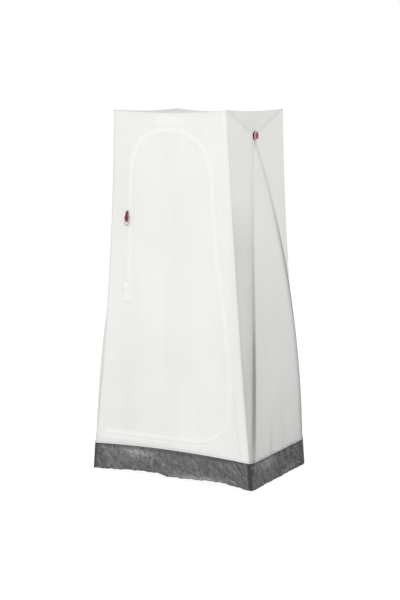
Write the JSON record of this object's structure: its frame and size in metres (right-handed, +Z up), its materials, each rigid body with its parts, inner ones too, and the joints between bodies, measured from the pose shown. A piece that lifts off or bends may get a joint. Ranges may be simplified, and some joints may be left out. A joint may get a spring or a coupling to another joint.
{
  "type": "zipped fabric storage tent",
  "caption": "Tall free-standing zipped fabric tent with tapered sides, a dark groundsheet skirt, a hanging rail, and folding side frames with hub and bowed legs.",
  "frame": {"origin": "centre of the floor's underside, on the ground", "axes": "+X to the right of someone facing the door, +Y from the door to the back, +Z up"},
  "size_m": [0.7444, 0.5112, 1.49],
  "materials": {
    "cover_fabric": "white woven polyester, matt, slightly see-through to the rods",
    "groundsheet": "dark grey woven polyethylene, crinkled, half gloss",
    "zip_tape": "white ribbed zip tape",
    "red_plastic": "dark red gloss moulding",
    "grey_plastic": "dark grey satin moulding",
    "rod": "dark grey resin-bonded fibre rod",
    "steel": "plated steel"
  },
  "bodies": {
    "frame_centre": {"hanging_rail": "steel", "right_hub": "grey_plastic", "left_hub": "grey_plastic", "roof": "cover_fabric", "floor": "groundsheet", "right_wall": "cover_fabric", "left_wall": "cover_fabric", "skirt_right": "groundsheet", "skirt_left": "groundsheet", "right_front_leg_pin": "steel", "right_front_arm_pin": "steel", "right_back_leg_pin": "steel", "right_back_arm_pin": "steel", "left_front_leg_pin": "steel", "left_front_arm_pin": "steel", "left_back_leg_pin": "steel", "left_back_arm_pin": "steel"},
    "front": {"front_wall": "cover_fabric", "skirt_front": "groundsheet", "zip_tape_outer": "zip_tape", "zip_tape_side": "zip_tape", "zip_end_patch": "zip_tape", "top_pocket_front_right": "cover_fabric", "top_pocket_front_left": "cover_fabric", "foot_patch_front_right": "groundsheet", "foot_patch_front_left": "groundsheet"},
    "back": {"back_wall": "cover_fabric", "skirt_back": "groundsheet", "top_pocket_back_right": "cover_fabric", "top_pocket_back_left": "cover_fabric", "foot_patch_back_right": "groundsheet", "foot_patch_back_left": "groundsheet"},
    "door": {"door_panel": "cover_fabric", "zip_tape_door": "zip_tape"},
    "slider": {"zip_slider": "red_plastic"},
    "puller": {"zip_puller": "red_plastic"},
    "ring": {"pull_ring": "red_plastic"},
    "right_knob": {"right_knob": "red_plastic"},
    "left_knob": {"left_knob": "red_plastic"},
    "right_front_leg": {"right_front_leg_upper": "rod", "right_front_leg_ferrule": "steel", "right_front_leg_lower": "rod", "right_front_leg_foot": "grey_plastic"},
    "right_front_arm": {"right_front_arm": "rod"},
    "right_back_leg": {"right_back_leg_upper": "rod", "right_back_leg_ferrule": "steel", "right_back_leg_lower": "rod", "right_back_leg_foot": "grey_plastic"},
    "right_back_arm": {"right_back_arm": "rod"},
    "left_front_leg": {"left_front_leg_upper": "rod", "left_front_leg_ferrule": "steel", "left_front_leg_lower": "rod", "left_front_leg_foot": "grey_plastic"},
    "left_front_arm": {"left_front_arm": "rod"},
    "left_back_leg": {"left_back_leg_upper": "rod", "left_back_leg_ferrule": "steel", "left_back_leg_lower": "rod", "left_back_leg_foot": "grey_plastic"},
    "left_back_arm": {"left_back_arm": "rod"}
  },
  "joints": [
    {"name": "fold", "type": "slide", "parent": "frame_centre", "child": "front", "axis": [0, 1, 0], "range_m": [0, 0.125], "deforming": ["right_wall", "left_wall", "skirt_right", "skirt_left"]},
    {"name": "fold_back", "type": "slide", "parent": "frame_centre", "child": "back", "axis": [0, -1, 0], "range_m": [0, 0.125]},
    {"name": "right_front_leg_pivot", "type": "hinge", "parent": "frame_centre", "child": "right_front_leg", "pos_m": [0.2415, -0.009, 1.371], "axis": [1, 0, 0], "range_deg": [0, 7.5]},
    {"name": "right_front_arm_pivot", "type": "hinge", "parent": "frame_centre", "child": "right_front_arm", "pos_m": [0.234, -0.02, 1.395], "axis": [0, -0.3511, -0.9363], "range_deg": [0, 90]},
    {"name": "right_back_leg_pivot", "type": "hinge", "parent": "frame_centre", "child": "right_back_leg", "pos_m": [0.2415, 0.009, 1.371], "axis": [-1, 0, 0], "range_deg": [0, 7.5]},
    {"name": "right_back_arm_pivot", "type": "hinge", "parent": "frame_centre", "child": "right_back_arm", "pos_m": [0.234, 0.02, 1.395], "axis": [0, -0.3511, 0.9363], "range_deg": [0, 90]},
    {"name": "left_front_leg_pivot", "type": "hinge", "parent": "frame_centre", "child": "left_front_leg", "pos_m": [-0.2415, -0.009, 1.371], "axis": [1, 0, 0], "range_deg": [0, 7.5]},
    {"name": "left_front_arm_pivot", "type": "hinge", "parent": "frame_centre", "child": "left_front_arm", "pos_m": [-0.234, -0.02, 1.395], "axis": [0, 0.3511, 0.9363], "range_deg": [0, 90]},
    {"name": "left_back_leg_pivot", "type": "hinge", "parent": "frame_centre", "child": "left_back_leg", "pos_m": [-0.2415, 0.009, 1.371], "axis": [-1, 0, 0], "range_deg": [0, 7.5]},
    {"name": "left_back_arm_pivot", "type": "hinge", "parent": "frame_centre", "child": "left_back_arm", "pos_m": [-0.234, 0.02, 1.395], "axis": [0, 0.3511, -0.9363], "range_deg": [0, 90]},
    {"name": "door_swing", "type": "hinge", "parent": "front", "child": "door", "pos_m": [-0.17774, -0.2516, 0.75], "axis": [-0.0269, 0, -0.9996], "range_deg": [0, 110]},
    {"name": "zip_slide", "type": "slide", "parent": "front", "child": "slider", "axis": [0.025, 0, 0.9997], "range_m": [-0.24, 0.14]},
    {"name": "puller_swing", "type": "hinge", "parent": "slider", "child": "puller", "pos_m": [-0.19405, -0.259, 1.078], "axis": [-1, 0, 0], "range_deg": [0, 150]},
    {"name": "ring_swing", "type": "hinge", "parent": "puller", "child": "ring", "pos_m": [-0.19405, -0.259, 1.046], "axis": [-1, 0, 0], "range_deg": [0, 90]},
    {"name": "right_knob_turn", "type": "hinge", "parent": "frame_centre", "child": "right_knob", "pos_m": [0.25, 0, 1.387], "axis": [1, 0, 0], "continuous": true},
    {"name": "left_knob_turn", "type": "hinge", "parent": "frame_centre", "child": "left_knob", "pos_m": [-0.25, 0, 1.387], "axis": [-1, 0, 0], "continuous": true}
  ],
  "couplings": [
    {"joint": "fold_back", "follows": "fold", "ratio": 1},
    {"joint": "right_front_leg_pivot", "follows": "fold", "rad_per_m": 1.0467},
    {"joint": "right_front_arm_pivot", "follows": "fold", "rad_per_m": 12.561},
    {"joint": "right_back_leg_pivot", "follows": "fold", "rad_per_m": 1.0467},
    {"joint": "right_back_arm_pivot", "follows": "fold", "rad_per_m": 12.561},
    {"joint": "left_front_leg_pivot", "follows": "fold", "rad_per_m": 1.0467},
    {"joint": "left_front_arm_pivot", "follows": "fold", "rad_per_m": 12.561},
    {"joint": "left_back_leg_pivot", "follows": "fold", "rad_per_m": 1.0467},
    {"joint": "left_back_arm_pivot", "follows": "fold", "rad_per_m": 12.561}
  ]
}
